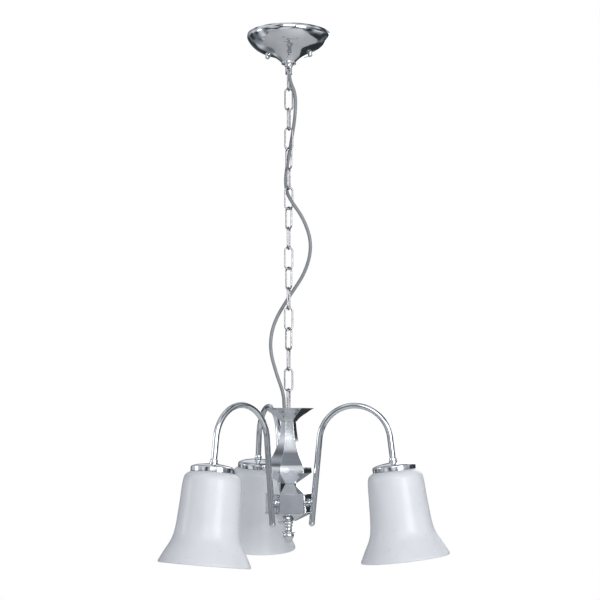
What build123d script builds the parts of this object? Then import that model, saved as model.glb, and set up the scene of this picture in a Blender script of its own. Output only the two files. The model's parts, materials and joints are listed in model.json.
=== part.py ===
from build123d import *
import math
import os

# Three-arm pendant chandelier, in millimetres. +Z is up and the origin is the centre of the
# ceiling rose where it meets the ceiling. Arm 1 points along +X, arms 2 and 3 follow at 120 degrees.

# ---- driving dimensions -------------------------------------------------------------------------
ARM_COUNT = 3
FIT = 0.05                    # radial play between pieces of one rigid group
GAP = 0.25                    # play between chain links

# ceiling rose
ROSE_RADIUS = 72.5
ROSE_DEPTH = 54.0
ROSE_WALL = 1.2
ROSE_MOUTH = 9.5              # radius of the small end of the rose
BRACKET_LENGTH = 104.0
BRACKET_WIDTH = 22.0
BRACKET_THICK = 2.0
CEILING_HOLE_SPACING = 50.0
CEILING_HOLE_RADIUS = 2.6
STUD_REACH = 38.0             # distance of each rose stud from the centre
STUD_RADIUS = 2.0
CAP_NUT_RADIUS = 4.2
TERMINAL_LENGTH = 24.0
TERMINAL_WIDTH = 14.0
TERMINAL_HEIGHT = 14.0
TERMINAL_PITCH = 8.0
TERMINAL_WELL = 1.9           # radius of the screw wells
TERMINAL_WIRE_HOLE = 1.6
WELL_DEPTH = 5.0
EARTH_SCREW_PLACE = -17.0     # along the bracket

# hanger bush under the rose
BUSH_RADIUS = 6.2
BUSH_FLANGE_RADIUS = 7.5
BUSH_FLANGE_HEIGHT = 4.0
BUSH_LENGTH = 17.0            # from the rose down to the lower face
BUSH_FLAT = 4.8               # half thickness across the two flats that clear the first link
BUSH_THREAD_RADIUS = 4.9
BUSH_EYE_PLAY = 1.4           # eye's radius over that of the link's wire
BUSH_EYE_FLARE = 1.4          # chamfer at both ends of the eye
BUSH_EYE_SEAT = 0.4           # clearance over link 1 in the eye
BUSH_NUT_CORNER = 7.8

# chain
LINK_WIRE = 3.0
LINK_BEND = 6.7               # radius of the end bends, to the middle of the wire
LINK_PITCH = 34.9
LINK_SEAT = 9.2               # middle of link 1's upper wire, above the bush's lower face
STANCE_EDGE = 85.5            # the three ways that a link's flat faces, degrees from arm 1
STANCE_FACE = 25.5
STANCE_HALF = -34.5
STANCES = [STANCE_EDGE, STANCE_FACE] * 2 + [STANCE_HALF, STANCE_EDGE, STANCE_FACE] * 4 + [STANCE_EDGE]

# supply cable
CABLE_DIAMETER = 6.0
CABLE_SPAN = 605.0            # bush to cup, for which the places below are given
CABLE_PLACES = [               # x, y, and height from the bush's lower face
    (0.9, 0.2, 1.5), (1.7, -0.3, -12.5), (12.9, -2.7, -36),
    (11.5, -0.3, -74), (4, 11.2, -105), (-2.4, 10.4, -144),
    (-8.3, 9.2, -182), (-5.2, 5.4, -207), (7, -9, -227),
    (29, -5.8, -259), (41.3, -0.5, -302), (28.7, 6.9, -348),
    (-3.9, 15.3, -391), (-28, 2.9, -436), (-32.4, -6, -480),
    (-19.7, -8.7, -523), (-7.1, -8, -557), (-6.3, -7.1, -581),
    (-4.4, -6.9, -602.2),
]

# column: hexagonal pieces, given by the distance from the axis to a corner
CUP_RISE = 5.35               # rim above the middle of the last link's lower wire
CUP_DEPTH = 23.0
CUP_RIM_CORNER = 44.5
CUP_FOOT_CORNER = 13.5
CUP_WALL = 1.2
CUP_FLOOR = 2.5
CORE_HOLE = 1.5               # radius of the hole for the cable's cores
CUP_TURN = -17.0              # direction of a flat, degrees from arm 1
VASE_HEIGHT = 86.5            # from its top to its widest edge
VASE_CORNER = 40.3
VASE_TOP_CORNER = 12.8
VASE_WALL = 1.5
WAIST_CORNER = 13.7
WAIST_DROP = 18.1             # from the vase's widest edge to the waist
HUB_CORNER = 40.8             # covers; they overhang the drum
HUB_OVERHANG = 1.5
HUB_COVER_DROP = 16.9
HUB_COVER_EDGE = 1.5
HUB_DRUM_HEIGHT = 30.3
HUB_DRUM_WALL = 2.0
HUB_BASE_DROP = 12.7
HUB_COVER_WALL = 2.2
COLUMN_TURN = -9.0            # vase and hub, degrees from arm 1
ROD_RADIUS = 4.0
ROD_BORE = 2.4
EYE_BEND = 6.2
EYE_WIRE = 3.4
EYE_COLLAR_RADIUS = 4.6
FINIAL_HEIGHT = 38.0

# arms
TUBE_RADIUS = 5.0
TUBE_WALL = 0.8
ARM_LEAN = 5.5                # degrees that the inner leg leans outwards
ARM_INNER_LEG = 143.0
ARM_BEND = 60.5
LAMP_TILT = 7.0               # degrees that the lamp leans outwards
ARM_OUTER_LEG = 42.0
CONNECTOR_BELOW = 14.0        # connector's axis below the top of the drum
CONNECTOR_DROP = 33.0         # connector's axis above the arm's foot
CONNECTOR_REACH = 9.44        # from the drum's flat to the middle of the tube
CONNECTOR_RADIUS = 4.5
CONNECTOR_FLANGE = 7.0
SPIGOT_RADIUS = 4.0
WIREWAY = 2.2
NUT_THICK = 5.0
NUT_CORNER = 7.4

# lamps
CAP_RADIUS = 36.3
CAP_RIM = 8.0
CAP_DOME = 6.0
CAP_WALL = 1.2
COLLAR_RADIUS = 7.0
COLLAR_HEIGHT = 7.5
HOLDER_RADIUS = 19.5
HOLDER_LENGTH = 38.0          # below the cap's rim
SHELL_BORE = 13.3             # screw shell for an E27 lamp
SHELL_WALL = 0.5
SHELL_LENGTH = 26.0
RING_RADIUS = 27.0
RING_THICK = 5.0
GLASS_WALL = 3.0
GLASS_PLAY = 0.6              # between the glass and the inside of the cap
GLASS_SHOULDER = 46.8
GLASS_WAIST = 49.8
GLASS_RIM = 74.3
GLASS_HEIGHT = 147.0
GLASS_TOP = 4.0               # how far the glass rises into the cap
GLASS_LIP = 1.4               # extra thickness of the rounded lip
LIP_FLARE = 27.0              # degrees that the wall leans outwards at the lip

HEX = math.cos(math.radians(30))
BUSH_BOTTOM = -ROSE_DEPTH - BUSH_LENGTH
BUSH_EYE_RADIUS = LINK_WIRE / 2 + BUSH_EYE_PLAY
FIRST_LINK_TOP = BUSH_BOTTOM + LINK_SEAT
EYE_CENTRE = FIRST_LINK_TOP + LINK_WIRE / 2 + BUSH_EYE_SEAT - BUSH_EYE_RADIUS
LINK_COUNT = len(STANCES)
LINK_LENGTH = LINK_PITCH + LINK_WIRE + GAP          # middle of wire to middle of wire
LAST_LINK_BOTTOM = FIRST_LINK_TOP - LINK_LENGTH - LINK_PITCH * (LINK_COUNT - 1)
EYE_TURN = STANCES[-1] - 90
CUP_TOP = LAST_LINK_BOTTOM + CUP_RISE
CUP_FOOT = CUP_TOP - CUP_DEPTH
CABLE_STRETCH = (BUSH_BOTTOM - CUP_FOOT) / CABLE_SPAN
CABLE_ROUTE = [(x, y, BUSH_BOTTOM + height * CABLE_STRETCH) for x, y, height in CABLE_PLACES]
VASE_EDGE = CUP_FOOT - VASE_HEIGHT
WAIST = VASE_EDGE - WAIST_DROP
HUB_TOP = WAIST - HUB_COVER_DROP - HUB_COVER_EDGE
HUB_BOTTOM = HUB_TOP - HUB_DRUM_HEIGHT
COLUMN_FOOT = HUB_BOTTOM - HUB_COVER_EDGE - HUB_BASE_DROP
DRUM_FLAT = (HUB_CORNER - HUB_OVERHANG) * HEX
CONNECTOR_Z = HUB_TOP - CONNECTOR_BELOW
ARM_FOOT_Z = CONNECTOR_Z - CONNECTOR_DROP
ARM_FOOT_RADIUS = DRUM_FLAT + CONNECTOR_REACH - CONNECTOR_DROP * math.tan(math.radians(ARM_LEAN))
GLASS_NECK = CAP_RADIUS - CAP_WALL - GLASS_PLAY


# ---- helpers ------------------------------------------------------------------------------------
def turned(points):
    """Solid of revolution about Z from (radius, height) corners."""
    return revolve(Plane.XZ * make_face(Polyline(*points, close=True)), Axis.Z)


def inner_points(outer, wall, count):
    """Points of a smooth outline moved inwards by the wall; the outline runs downwards."""
    points = []
    for i in range(count + 1):
        along = outer % (i / count)
        points.append(outer @ (i / count) + Vector(along.Y, -along.X) * wall)
    return points


def hexagonal(side, turn, reach=80.0):
    """Solid of hexagonal plan: side is the list of edges that its flats follow, in (flat, height)."""
    other = [mirror(edge, about=Plane.YZ) for edge in side]
    top = Line(side[0] @ 0, other[0] @ 0)
    bottom = Line(side[-1] @ 1, other[-1] @ 1)
    band = extrude(Plane.XZ * make_face([*side, *other, top, bottom]), reach, both=True)
    body = band & (Rot(Z=60) * band) & (Rot(Z=120) * band)
    return Rot(Z=turn) * body


def post(radius, top, bottom, x=0.0, y=0.0):
    """Upright cylinder between two heights."""
    return Pos(x, y, bottom) * Cylinder(radius, top - bottom, align=(Align.CENTER, Align.CENTER, Align.MIN))


def hex_nut(corner, bore, top, thick, turn=0.0):
    """Plain hexagonal nut lying flat."""
    blank = Pos(0, 0, top - thick) * extrude(RegularPolygon(corner, 6), thick)
    return Rot(Z=turn) * blank - post(bore, top + 1, top - thick - 1)


def around(piece):
    """One copy of a piece for each arm."""
    return [Rot(Z=360 / ARM_COUNT * i) * piece for i in range(ARM_COUNT)]


def save(name, shape):
    """Write one node; a list becomes a group of separate solids."""
    solids = shape if isinstance(shape, list) else [shape]
    solids = [s for piece in solids for s in piece.solids()]
    whole = Compound(children=solids) if len(solids) > 1 else solids[0]
    export_step(whole, f"parts/{name}.step")


# ---- ceiling rose -------------------------------------------------------------------------------
def rose_outline():
    """Outside of the rose: an upright rim, a full bowl and a hollow funnel down to the mouth."""
    r, d = ROSE_RADIUS, ROSE_DEPTH
    return [(r, 0), (r * 1.01, -0.09 * d), (r * 0.965, -0.23 * d), (r * 0.885, -0.36 * d),
            (r * 0.77, -0.48 * d), (r * 0.63, -0.575 * d), (r * 0.47, -0.657 * d),
            (r * 0.33, -0.75 * d), (r * 0.214, -0.88 * d), (ROSE_MOUTH, -d)]


def ceiling_rose():
    """Spun cover with a flat mouth that the bush goes through, and two holes for the studs."""
    outer = Spline(*rose_outline())
    floor_z = -ROSE_DEPTH + ROSE_WALL
    bore = BUSH_THREAD_RADIUS + FIT
    above_floor = [point for point in inner_points(outer, ROSE_WALL, 180) if point.Y > floor_z + 0.1]
    corner = Vector(above_floor[-1].X, floor_z)
    inner = Spline(*above_floor[:-1:12], corner)
    mouth = Polyline(outer @ 1, (bore, -ROSE_DEPTH), (bore, floor_z), corner)
    cover = revolve(Plane.XZ * make_face([outer, *mouth.edges(), inner, Line(inner @ 0, outer @ 0)]), Axis.Z)
    for side in (-1, 1):
        cover -= post(STUD_RADIUS + 0.3, -5, -ROSE_DEPTH, side * STUD_REACH)
    return cover


def rose_block():
    """Filled rose, used to seat the cap nuts on its slope."""
    outline = Spline(*rose_outline())
    edges = [outline, Line((ROSE_MOUTH, -ROSE_DEPTH), (0, -ROSE_DEPTH)), Line((0, -ROSE_DEPTH), (0, 0)),
             Line((0, 0), (ROSE_RADIUS, 0))]
    return revolve(Plane.XZ * make_face(edges), Axis.Z)


def ceiling_bracket():
    """Flat bar that carries the lamp, with two ceiling screw holes and two stud holes."""
    bar = Pos(0, 0, -BRACKET_THICK / 2) * Box(BRACKET_LENGTH, BRACKET_WIDTH, BRACKET_THICK)
    bar = fillet(bar.edges().filter_by(Axis.Z), 5)
    for side in (-1, 1):
        bar -= post(CEILING_HOLE_RADIUS, 1, -BRACKET_THICK - 1, side * CEILING_HOLE_SPACING / 2)
        bar -= post(STUD_RADIUS + FIT, 1, -BRACKET_THICK - 1, side * STUD_REACH)
    return bar


def cap_nut_top():
    """Height of the rose's outside at the studs."""
    return rose_block().find_intersection_points(
        Axis((STUD_REACH, 0, -ROSE_DEPTH), (0, 0, 1)))[0][0].Z


def rose_studs(slope_z):
    """Threaded studs from the bracket down into the cap nuts."""
    end = slope_z - 5.0
    return [post(STUD_RADIUS, 0, end, side * STUD_REACH) for side in (-1, 1)]


def rose_cap_nuts(slope_z):
    """Domed nuts under the rose, seated on its slope."""
    top, foot = slope_z + 3.5, slope_z - 5.5
    nut = turned([(0, top), (CAP_NUT_RADIUS, top), (CAP_NUT_RADIUS, foot), (CAP_NUT_RADIUS * 0.55, foot - 2),
                  (0, foot - 2.4)])
    nut -= post(STUD_RADIUS + FIT, top + 1, foot + 0.5)
    nuts = [Pos(side * STUD_REACH, 0, 0) * nut for side in (-1, 1)]
    return [one - rose_block() for one in nuts]


def hanger_bush():
    """Bush with a flange, two flats, a cross eye for link 1 and a mouth for the cable."""
    flange_foot = -ROSE_DEPTH - BUSH_FLANGE_HEIGHT
    body = post(BUSH_FLANGE_RADIUS, -ROSE_DEPTH, flange_foot)
    body = chamfer(body.edges().group_by(Axis.Z)[0], 0.8)
    body += post(BUSH_RADIUS, flange_foot, BUSH_BOTTOM)
    body += post(BUSH_THREAD_RADIUS, -ROSE_DEPTH + 14, -ROSE_DEPTH)
    beyond = BUSH_RADIUS * 2
    for side in (-1, 1):
        flat = Pos(side * (BUSH_FLAT + beyond / 2), 0, (flange_foot + BUSH_BOTTOM) / 2)
        cutter = flat * Box(beyond, beyond * 2, flange_foot - BUSH_BOTTOM)
        body -= Rot(Z=STANCE_EDGE) * cutter
    r, flare, face = BUSH_EYE_RADIUS, BUSH_EYE_FLARE, BUSH_FLAT
    eye = turned([(0, 0), (r, 0), (r, face - flare), (r + flare, face), (r + flare, beyond), (0, beyond)])
    for side in (90, -90):
        body -= Rot(Z=STANCE_EDGE) * (Pos(0, 0, EYE_CENTRE) * Rot(Y=side) * eye)
    mouth = CABLE_DIAMETER / 2 + 0.9
    x, y = CABLE_ROUTE[0][:2]
    return body - post(mouth, CABLE_ROUTE[0][2] + 1.2, BUSH_BOTTOM - 1, x, y)


def bush_nut():
    """Nut on the bush's thread, inside the rose."""
    top = -ROSE_DEPTH + ROSE_WALL + NUT_THICK
    return hex_nut(BUSH_NUT_CORNER, BUSH_THREAD_RADIUS + FIT, top, NUT_THICK)


def terminal_places():
    """Where the three poles of the terminal block stand along the bracket."""
    return [TERMINAL_PITCH * i for i in (-1, 0, 1)]


def terminal_block():
    """Connector with three wire holes and three screw wells, under the bracket."""
    top, foot = -BRACKET_THICK, -BRACKET_THICK - TERMINAL_HEIGHT
    block = Pos(0, 0, (top + foot) / 2) * Box(TERMINAL_LENGTH, TERMINAL_WIDTH, TERMINAL_HEIGHT)
    block = fillet(block.edges().filter_by(Axis.Z), 1.5)
    for x in terminal_places():
        wire_hole = Cylinder(TERMINAL_WIRE_HOLE, TERMINAL_WIDTH + 2, rotation=(90, 0, 0))
        block -= Pos(x, 0, top - 6) * wire_hole
        block -= post(TERMINAL_WELL, foot + WELL_DEPTH, foot - 1, x)
    return block


def terminal_screws():
    """Slotted grub screws in the wells of the terminal block."""
    top = -BRACKET_THICK - TERMINAL_HEIGHT + WELL_DEPTH
    screws = []
    for x in terminal_places():
        screw = post(TERMINAL_WELL - FIT, top, top - 4, x)
        screws.append(screw - Pos(x, 0, top - 4) * Box(0.7, 5, 1.6))
    return screws


def earth_screw():
    """Pan head screw for the earth wire, under the bracket."""
    x = EARTH_SCREW_PLACE
    top = -BRACKET_THICK
    head = Pos(x, 0, 0) * turned([(0, top), (3.0, top), (3.0, top - 1.4), (2.0, top - 2.4), (0, top - 2.4)])
    return head - Pos(x, 0, top - 2.4) * Box(7, 0.8, 1.6)


# ---- chain and cable ----------------------------------------------------------------------------
def chain_link(index):
    """Oval link of round wire; index 0 hangs in the bush."""
    top = FIRST_LINK_TOP - LINK_PITCH * index
    leg = LINK_LENGTH / 2 - LINK_BEND
    r = LINK_BEND
    path = Plane.XZ * Wire([Line((r, 0), (r, leg)), CenterArc((0, leg), r, 0, 180), Line((-r, leg), (-r, 0))])
    upper = sweep(Plane.XY * Pos(r, 0) * Circle(LINK_WIRE / 2), path=path)
    link = upper + mirror(upper, about=Plane.XY)
    return Pos(0, 0, top - LINK_LENGTH / 2) * (Rot(Z=STANCES[index]) * link)


def cable_radii():
    """Radius of each arc: 0.45 of the shorter run beside it, over the tangent of half the turn."""
    route = [Vector(*p) for p in CABLE_ROUTE]
    radii = []
    for before, here, after in zip(route, route[1:], route[2:]):
        come, go = here - before, after - here
        half_turn = math.radians(come.get_angle(go)) / 2
        radii.append(0.45 * min(come.length, go.length) / math.tan(half_turn))
    return radii


def supply_cable():
    """Round cable along its route; prints its radii, length and volume check."""
    radii = cable_radii()
    path = FilletPolyline(*CABLE_ROUTE, radius=radii)
    section = Plane(origin=path @ 0, z_dir=path % 0) * Circle(CABLE_DIAMETER / 2)
    cable = sweep(section, path=path)
    area = math.pi * CABLE_DIAMETER ** 2 / 4
    print("cable radii", [round(r) for r in radii])
    print(f"cable length {path.length:.1f}, volume ratio {cable.volume / (area * path.length):.4f}")
    return cable


# ---- column -------------------------------------------------------------------------------------
def cup_outline(inset=0.0):
    """Side of the flared cup, in (flat, height)."""
    drop = CUP_DEPTH
    spread = CUP_RIM_CORNER - CUP_FOOT_CORNER
    shares = [(0.0, 1.0), (0.11, 0.835), (0.335, 0.587), (0.557, 0.339), (0.778, 0.145), (1.0, 0.0)]
    points = [((CUP_FOOT_CORNER + spread * share) * HEX - inset, CUP_TOP - drop * depth)
              for depth, share in shares]
    return Spline(*points)


def top_cup():
    """Flared hexagonal cup that hides the eye and takes in the cable."""
    cup = hexagonal([cup_outline()], CUP_TURN)
    hollow = hexagonal([cup_outline(CUP_WALL)], CUP_TURN)
    floor_z = CUP_FOOT + CUP_FLOOR
    hollow &= Pos(0, 0, (CUP_TOP + floor_z) / 2) * Box(200, 200, CUP_TOP - floor_z)
    cup = cup - hollow - post(ROD_BORE + FIT, floor_z + 1, CUP_FOOT - 1)
    x, y = CABLE_ROUTE[-1][:2]
    return cup - post(CORE_HOLE, floor_z + 1, CUP_FOOT - 1, x, y)


def top_eye():
    """Ring that link 17 hangs from, on a collar and a stud that screws into the rod."""
    wire_top = LAST_LINK_BOTTOM + LINK_WIRE / 2 + GAP + EYE_WIRE / 2
    ring = Pos(0, 0, wire_top - EYE_BEND) * Rot(X=90) * Torus(EYE_BEND, EYE_WIRE / 2)
    floor_z = CUP_FOOT + CUP_FLOOR
    collar = post(EYE_COLLAR_RADIUS, wire_top - 2 * EYE_BEND, floor_z)
    stud = post(ROD_BORE - FIT, floor_z, CUP_FOOT - 14)
    return Rot(Z=EYE_TURN) * (ring + collar + stud)


def vase_outline(inset=0.0):
    """Side of the vase from its narrow top to its widest edge, in (flat, height)."""
    spread = VASE_CORNER - VASE_TOP_CORNER
    shares = [(0.0, 0.0), (0.16, 0.05), (0.35, 0.145), (0.51, 0.305), (0.69, 0.575), (0.82, 0.84),
              (0.92, 0.965), (1.0, 1.0)]
    points = [((VASE_TOP_CORNER + spread * share) * HEX - inset, CUP_FOOT - VASE_HEIGHT * depth)
              for depth, share in shares]
    return Spline(*points)


def vase_body():
    """Hollow hexagonal vase that ends in a cone at the waist."""
    side = vase_outline()
    cone = Line(side @ 1, (WAIST_CORNER * HEX, WAIST))
    body = hexagonal([side, cone], COLUMN_TURN)
    inner = vase_outline(VASE_WALL)
    inner_cone = Line(inner @ 1, (WAIST_CORNER * HEX - VASE_WALL, WAIST + 1))
    hollow = hexagonal([inner, inner_cone], COLUMN_TURN)
    roof, floor = CUP_FOOT - 3, WAIST + 5
    hollow &= Pos(0, 0, (roof + floor) / 2) * Box(200, 200, roof - floor)
    x, y = CABLE_ROUTE[-1][:2]
    body = body - hollow - post(ROD_RADIUS + FIT, CUP_FOOT + 1, WAIST - 1)
    return body - post(CORE_HOLE, CUP_FOOT + 1, roof - 1, x, y)


def hub_cover(edge_z, tip_z):
    """Hexagonal pyramid cover with an upright edge; it opens towards the drum at edge_z."""
    up = 1 if tip_z > edge_z else -1
    band_z = edge_z + up * HUB_COVER_EDGE
    flat, tip_flat = HUB_CORNER * HEX, WAIST_CORNER * HEX
    side = [Line((flat, edge_z), (flat, band_z)), Line((flat, band_z), (tip_flat, tip_z))]
    cover = hexagonal(side, COLUMN_TURN)
    wall = HUB_COVER_WALL
    seat = DRUM_FLAT - HUB_DRUM_WALL
    hollow = hexagonal([Line((seat, edge_z), (tip_flat, tip_z - up * (wall + 2)))], COLUMN_TURN)
    return cover - hollow - post(ROD_RADIUS + FIT, max(edge_z, tip_z) + 1, min(edge_z, tip_z) - 1)


def hub_drum():
    """Open hexagonal drum with a hole for each arm's spigot."""
    def prism(flat):
        return hexagonal([Line((flat, HUB_TOP), (flat, HUB_BOTTOM))], COLUMN_TURN)

    drum = prism(DRUM_FLAT) - prism(DRUM_FLAT - HUB_DRUM_WALL)
    hole = Pos(DRUM_FLAT, 0, CONNECTOR_Z) * Cylinder(SPIGOT_RADIUS + FIT, 20, rotation=(0, 90, 0))
    for cut in around(hole):
        drum -= cut
    return drum


def centre_rod():
    """Hollow threaded rod that ties the column together."""
    rod = post(ROD_RADIUS, CUP_FOOT, COLUMN_FOOT - 8)
    return rod - post(ROD_BORE, CUP_FOOT + 1, COLUMN_FOOT - 9)


def rod_nuts():
    """Locknuts on the rod: one in the vase, one under the hub's top cover."""
    bore = ROD_RADIUS + FIT
    in_vase = hex_nut(NUT_CORNER, bore, WAIST + 5 + NUT_THICK, NUT_THICK)
    in_hub = hex_nut(NUT_CORNER, bore, WAIST - HUB_COVER_WALL - 2, NUT_THICK)
    return [in_vase, in_hub]


def finial():
    """Turned drop: two beads, a flange and an acorn, screwed to the end of the rod."""
    z = COLUMN_FOOT
    outline = [
        Line((0, z), (6.4, z)),
        ThreePointArc((6.4, z), (7.6, z - 3.0), (6.0, z - 6.0)),
        ThreePointArc((6.0, z - 6.0), (7.0, z - 8.4), (5.4, z - 10.8)),
        Spline((5.4, z - 10.8), (5.8, z - 14.0), (10.6, z - 18.4), tangents=[(0, -1), (1, -0.35)]),
        ThreePointArc((10.6, z - 18.4), (11.0, z - 19.4), (10.4, z - 20.2)),
        Line((10.4, z - 20.2), (8.4, z - 21.2)),
        Spline((8.4, z - 21.2), (9.2, z - 24.0), (6.6, z - 31.0), (2.0, z - 37.0), (0, z - FINIAL_HEIGHT)),
        Line((0, z - FINIAL_HEIGHT), (0, z)),
    ]
    body = revolve(Plane.XZ * make_face(outline), Axis.Z)
    return body - post(ROD_RADIUS + FIT / 2, z + 1, z - 8.2)


# ---- arms ---------------------------------------------------------------------------------------
def arm_path(end_beyond):
    """Middle of the arm's tube: inner leg, crook and outer leg, which runs on by end_beyond."""
    lean = math.radians(ARM_LEAN)
    foot = Vector(ARM_FOOT_RADIUS, 0, ARM_FOOT_Z)
    leg_top = foot + Vector(math.sin(lean), 0, math.cos(lean)) * ARM_INNER_LEG
    middle = leg_top + Vector(math.cos(lean), 0, -math.sin(lean)) * ARM_BEND
    tilt = math.radians(LAMP_TILT)
    out_of_bend = middle + Vector(math.cos(tilt), 0, math.sin(tilt)) * ARM_BEND
    half = (math.radians(180) - lean - tilt) / 2
    apex = middle + Vector(-math.cos(lean + half), 0, math.sin(lean + half)) * ARM_BEND
    down = Vector(math.sin(tilt), 0, -math.cos(tilt))
    end = out_of_bend + down * (ARM_OUTER_LEG + end_beyond)
    return Wire([Line(foot, leg_top), ThreePointArc(leg_top, apex, out_of_bend), Line(out_of_bend, end)])


def arm_tube():
    """Bent tube of one arm, with a wire hole where the connector meets it."""
    path = arm_path(CAP_DOME)
    start = Plane(origin=path @ 0, z_dir=path % 0)
    tube = sweep(start * Circle(TUBE_RADIUS), path=path)
    tube -= sweep(start * Circle(TUBE_RADIUS - TUBE_WALL), path=path)
    inner_side = ARM_FOOT_RADIUS - TUBE_RADIUS
    hole = Pos(inner_side, 0, CONNECTOR_Z) * Cylinder(WIREWAY, 2 * TUBE_RADIUS, rotation=(0, 90, 0))
    return tube - hole


def arm_end_ball():
    """Ball-ended plug in the lower end of the tube."""
    ball = Pos(0, 0, -1.2) * Sphere(TUBE_RADIUS + 0.15)
    ball &= Pos(0, 0, -10) * Box(30, 30, 20)
    plug = ball + post(TUBE_RADIUS - TUBE_WALL - FIT, 6, 0)
    return Pos(ARM_FOOT_RADIUS, 0, ARM_FOOT_Z) * Rot(Y=ARM_LEAN) * plug


def drum_block():
    """Drum filled in but for the arm's spigot hole, which the connector's flange seats on."""
    block = hexagonal([Line((DRUM_FLAT, HUB_TOP), (DRUM_FLAT, HUB_BOTTOM))], COLUMN_TURN)
    spigot_hole = post(SPIGOT_RADIUS + FIT, DRUM_FLAT + 20, 0)
    return block - Pos(0, 0, CONNECTOR_Z) * Rot(Y=90) * spigot_hole


def arm_connector(tube, drum):
    """Hollow spool between drum and tube: flange, waist, and a spigot through the drum's wall."""
    inner_end = DRUM_FLAT - HUB_DRUM_WALL - NUT_THICK - 2.5
    reach = DRUM_FLAT + CONNECTOR_REACH
    seat = DRUM_FLAT + 2.4
    spool = turned([(0, inner_end), (SPIGOT_RADIUS, inner_end), (SPIGOT_RADIUS, seat - 3.5),
                    (CONNECTOR_FLANGE, seat - 3.5), (CONNECTOR_FLANGE, seat), (CONNECTOR_RADIUS, seat + 1.2),
                    (CONNECTOR_RADIUS, reach), (0, reach)])
    spool -= post(WIREWAY, reach + 1, inner_end - 1)
    spool = Pos(0, 0, CONNECTOR_Z) * Rot(Y=90) * spool
    filled_tube = sweep(Plane(origin=tube @ 0, z_dir=tube % 0) * Circle(TUBE_RADIUS), path=tube)
    return (spool - drum - filled_tube).solids().sort_by(SortBy.VOLUME)[-1]


def arm_nut():
    """Nut on the spigot, inside the drum."""
    outer_face = DRUM_FLAT - HUB_DRUM_WALL - 1.2
    nut = hex_nut(NUT_CORNER, SPIGOT_RADIUS + FIT, outer_face, NUT_THICK, 30)
    return Pos(0, 0, CONNECTOR_Z) * Rot(Y=90) * nut


# ---- lamps, drawn upright with the cap's rim at height 0 ----------------------------------------
def shade_cap():
    """Shallow domed cap over the glass."""
    top = CAP_RIM + CAP_DOME
    r = CAP_RADIUS
    inner_r = r - CAP_WALL
    dome_r, dome_z = r * 0.55, CAP_RIM + CAP_DOME * 0.72
    outer = [
        Line((0, top), (TUBE_RADIUS, top)),
        Spline((TUBE_RADIUS, top), (dome_r, dome_z), (r - 1.2, CAP_RIM), tangents=[(1, -0.05), (1, -0.6)]),
        ThreePointArc((r - 1.2, CAP_RIM), (r - 0.3, CAP_RIM - 0.7), (r, CAP_RIM - 2)),
        Line((r, CAP_RIM - 2), (r, 0)),
        Line((r, 0), (inner_r, 0)),
        Line((inner_r, 0), (inner_r, CAP_RIM - 2.5)),
        Spline((inner_r, CAP_RIM - 2.5), (dome_r, dome_z - CAP_WALL * 1.1), (TUBE_RADIUS, top - CAP_WALL)),
        Line((TUBE_RADIUS, top - CAP_WALL), (0, top - CAP_WALL)),
        Line((0, top - CAP_WALL), (0, top)),
    ]
    cap = revolve(Plane.XZ * make_face(outer), Axis.Z)
    return cap - post(TUBE_RADIUS + FIT, top + 1, 0)


def tube_collar():
    """Small flared collar where the tube enters the cap."""
    foot = CAP_RIM + CAP_DOME
    r = COLLAR_RADIUS
    collar = turned([(0, foot), (r, foot), (r, foot + 1.8), (r - 0.7, foot + 2.6), (r - 0.7, foot + 5.2),
                     (TUBE_RADIUS + 0.5, foot + COLLAR_HEIGHT), (0, foot + COLLAR_HEIGHT)])
    return collar - post(TUBE_RADIUS + FIT, foot + COLLAR_HEIGHT + 1, foot - 1)


def lampholder():
    """Skirted lampholder with a bore for its screw shell."""
    top = CAP_RIM - 2.0
    r, foot = HOLDER_RADIUS, -HOLDER_LENGTH
    body = turned([(0, top), (11, top), (r - 1.5, GLASS_TOP + 0.5), (r, GLASS_TOP - 1), (r, foot + 1),
                   (r - 1, foot), (0, foot)])
    bore = SHELL_BORE + SHELL_WALL + FIT
    return body - post(bore, -HOLDER_LENGTH + SHELL_LENGTH + 3, -HOLDER_LENGTH - 1)


def screw_shell():
    """Brass shell that takes the lamp's cap."""
    top = -HOLDER_LENGTH + SHELL_LENGTH + 1
    foot = top - SHELL_LENGTH
    return post(SHELL_BORE + SHELL_WALL, top, foot) - post(SHELL_BORE, top + 1, foot - 1)


def lamp_contact():
    """Centre contact at the bottom of the bore."""
    top = -HOLDER_LENGTH + SHELL_LENGTH + 3
    return turned([(0, top), (4, top), (4, top - 0.8), (2, top - 1.6), (0, top - 1.6)])


def shade_ring():
    """Ring nut that clamps the glass to the lampholder."""
    top = GLASS_TOP - GLASS_WALL
    ring = turned([(HOLDER_RADIUS + FIT, top), (RING_RADIUS, top), (RING_RADIUS, top - RING_THICK + 1),
                   (RING_RADIUS - 1, top - RING_THICK), (HOLDER_RADIUS + FIT, top - RING_THICK)])
    for i in range(6):
        ring -= Rot(Z=60 * i) * (Pos(RING_RADIUS, 0, top - RING_THICK / 2) * Box(2, 3, RING_THICK + 1))
    return ring


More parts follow.
